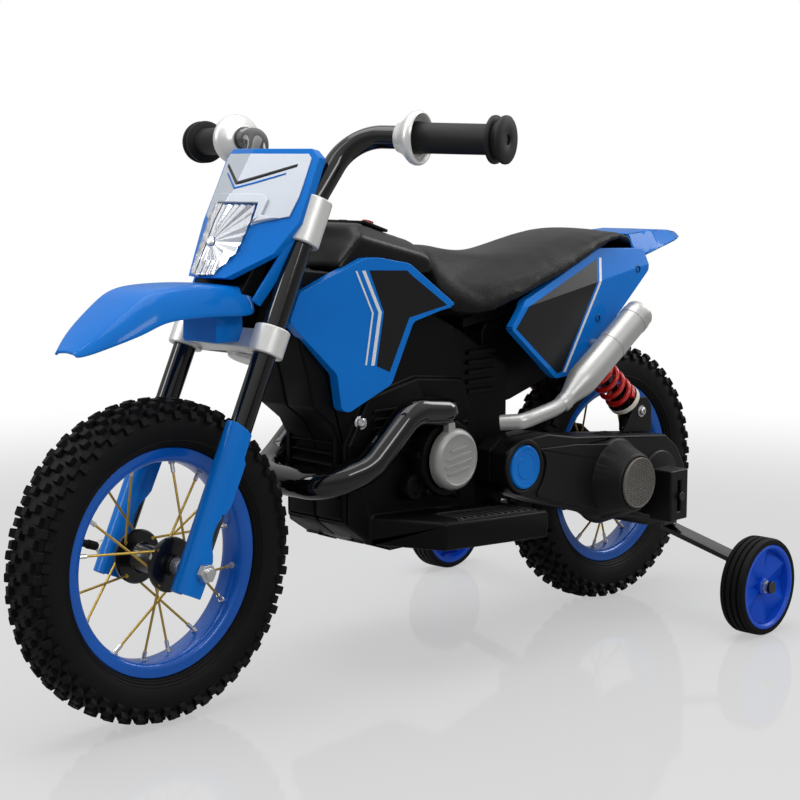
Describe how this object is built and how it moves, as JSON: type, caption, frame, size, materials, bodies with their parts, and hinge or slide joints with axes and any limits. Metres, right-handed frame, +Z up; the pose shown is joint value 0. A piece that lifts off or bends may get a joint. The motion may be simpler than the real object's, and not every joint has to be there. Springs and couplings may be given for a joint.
{
  "type": "kids electric motorbike",
  "caption": "Battery motorbike for a small child: spoked wheels, steered fork with lamp mask, sprung rear arm with geared motor, soft seat, foot pedal and side stabilizer wheels.",
  "frame": {"origin": "on the ground, midway between the two axles, in the middle plane", "axes": "+X forward, +Y to the rider's left, +Z up"},
  "size_m": [0.979, 0.5088, 0.5687],
  "materials": {
    "blue_plastic": "glossy moulded",
    "blue_rim": "gloss paint",
    "black_shell": "satin moulded",
    "black_paint": "gloss paint",
    "black_gloss": "glossy moulded",
    "silver_plastic": "satin silver paint",
    "tyre_rubber": "knobbed rubber",
    "small_tyre": "ribbed hard plastic",
    "small_wheel": "glossy moulded",
    "spoke_brass": "gold plated",
    "hub_black": "black anodised",
    "steel": "zinc plated",
    "nylon": "moulded nylon",
    "shock_shell": "moulded",
    "spring_red": "gloss paint",
    "seat_cover": "grained soft cover over foam",
    "grip_rubber": "matt rubber",
    "lamp_clear": "clear moulded lens",
    "lamp_mirror": "metallised",
    "grille_grey": "perforated moulded",
    "battery_case": "moulded case",
    "button_red": "glossy moulded",
    "switch_black": "moulded"
  },
  "bodies": {
    "frame": {"body_shell_left": "black_shell", "body_shell_right": "black_shell", "tank_cover": "black_shell", "dash_panel": "black_shell", "tank_panel_left": "blue_plastic", "tank_panel_right": "blue_plastic", "side_panel_left": "blue_plastic", "side_panel_right": "blue_plastic", "seat_pad": "seat_cover", "seat_pan": "black_shell", "tail_fender": "blue_plastic", "exhausts": "silver_plastic", "header_pipe": "black_gloss", "engine_caps": "silver_plastic", "head_tube": "steel", "battery": "battery_case", "pivot_shafts": "steel"},
    "steering": {"lower_clamp": "silver_plastic", "upper_clamp": "silver_plastic", "fork_leg_left": "black_paint", "fork_leg_right": "black_paint", "fork_guards": "blue_plastic", "handlebars": "black_paint", "grip_collars": "silver_plastic", "grips": "grip_rubber", "front_fender": "blue_plastic", "front_mask": "blue_plastic", "headlight_lens": "lamp_clear", "headlight_reflector": "lamp_mirror", "front_axle": "steel"},
    "front_wheel": {"front_tyre": "tyre_rubber", "front_rim": "blue_rim", "front_spokes": "spoke_brass", "front_hub": "hub_black"},
    "swingarm": {"gearbox_case": "black_shell", "gearbox_cover": "black_shell", "swingarm_right": "black_shell", "pivot_caps": "blue_plastic", "motor": "steel", "motor_grille": "grille_grey", "rear_axle": "steel", "shock_mounts": "black_paint", "stabilizer_brackets": "black_shell", "stabilizer_arms": "black_paint"},
    "rear_wheel": {"rear_tyre": "tyre_rubber", "rear_rim": "blue_rim", "rear_spokes": "spoke_brass", "rear_hub": "hub_black"},
    "stabilizer_wheel_left": {"stabilizer_tyre_left": "small_tyre", "stabilizer_hub_left": "small_wheel"},
    "stabilizer_wheel_right": {"stabilizer_tyre_right": "small_tyre", "stabilizer_hub_right": "small_wheel"},
    "idler": {"idler_gear": "nylon"},
    "pinion": {"motor_pinion": "steel"},
    "shock_upper": {"shock_bodies": "shock_shell", "shock_springs": "spring_red"},
    "shock_lower": {"shock_rods": "steel"},
    "pedal": {"accelerator_pedal": "black_shell"},
    "button": {"power_button": "button_red"},
    "rocker": {"direction_switch": "switch_black"}
  },
  "joints": [
    {"name": "steer", "type": "hinge", "parent": "frame", "child": "steering", "pos_m": [0.31162, 0, 0.14067], "axis": [-0.4226, 0, 0.9063], "range_deg": [-30, 30]},
    {"name": "front_wheel_spin", "type": "hinge", "parent": "steering", "child": "front_wheel", "pos_m": [0.337, 0, 0.1525], "axis": [0, 1, 0], "continuous": true},
    {"name": "swing", "type": "hinge", "parent": "frame", "child": "swingarm", "pos_m": [-0.092, 0, 0.197], "axis": [0, 1, 0], "range_deg": [0, 5], "stiffness_Nm_per_rad": 400, "springref_deg": -3.44},
    {"name": "rear_wheel_spin", "type": "hinge", "parent": "swingarm", "child": "rear_wheel", "pos_m": [-0.337, 0, 0.1525], "axis": [0, 1, 0], "continuous": true},
    {"name": "stabilizer_left_spin", "type": "hinge", "parent": "swingarm", "child": "stabilizer_wheel_left", "pos_m": [-0.319, 0.235, 0.054], "axis": [0, 1, 0], "continuous": true},
    {"name": "stabilizer_right_spin", "type": "hinge", "parent": "swingarm", "child": "stabilizer_wheel_right", "pos_m": [-0.319, -0.235, 0.054], "axis": [0, 1, 0], "continuous": true},
    {"name": "idler_spin", "type": "hinge", "parent": "swingarm", "child": "idler", "pos_m": [-0.28487, 0.053, 0.17155], "axis": [0, 1, 0], "continuous": true},
    {"name": "pinion_spin", "type": "hinge", "parent": "swingarm", "child": "pinion", "pos_m": [-0.253, 0.053, 0.163], "axis": [0, 1, 0], "continuous": true},
    {"name": "shock_tilt", "type": "hinge", "parent": "frame", "child": "shock_upper", "pos_m": [-0.228, 0, 0.312], "axis": [0, 1, 0], "range_deg": [-1, 8]},
    {"name": "shock_stroke", "type": "slide", "parent": "shock_upper", "child": "shock_lower", "axis": [0.7812, 0, 0.6242], "range_m": [-0.001, 0.016], "deforming": ["shock_springs"]},
    {"name": "pedal_press", "type": "hinge", "parent": "frame", "child": "pedal", "pos_m": [-0.04212, -0.086, 0.16098], "axis": [0, 1, 0], "range_deg": [0, 8], "stiffness_Nm_per_rad": 1.5, "springref_deg": -11.46},
    {"name": "button_press", "type": "slide", "parent": "frame", "child": "button", "axis": [-0.2924, 0, 0.9563], "range_m": [-0.003, 0], "stiffness_N_per_m": 600, "springref_m": 0.001},
    {"name": "rocker_tilt", "type": "hinge", "parent": "frame", "child": "rocker", "pos_m": [0.071, -0.014, 0.4534], "axis": [0, 1, 0], "range_deg": [-8, 8]}
  ],
  "couplings": [
    {"joint": "idler_spin", "follows": "rear_wheel_spin", "ratio": -1.4667},
    {"joint": "pinion_spin", "follows": "rear_wheel_spin", "ratio": 3.1429},
    {"joint": "shock_tilt", "follows": "swing", "ratio": 1.3647},
    {"joint": "shock_stroke", "follows": "swing", "m_per_rad": 0.17235}
  ]
}
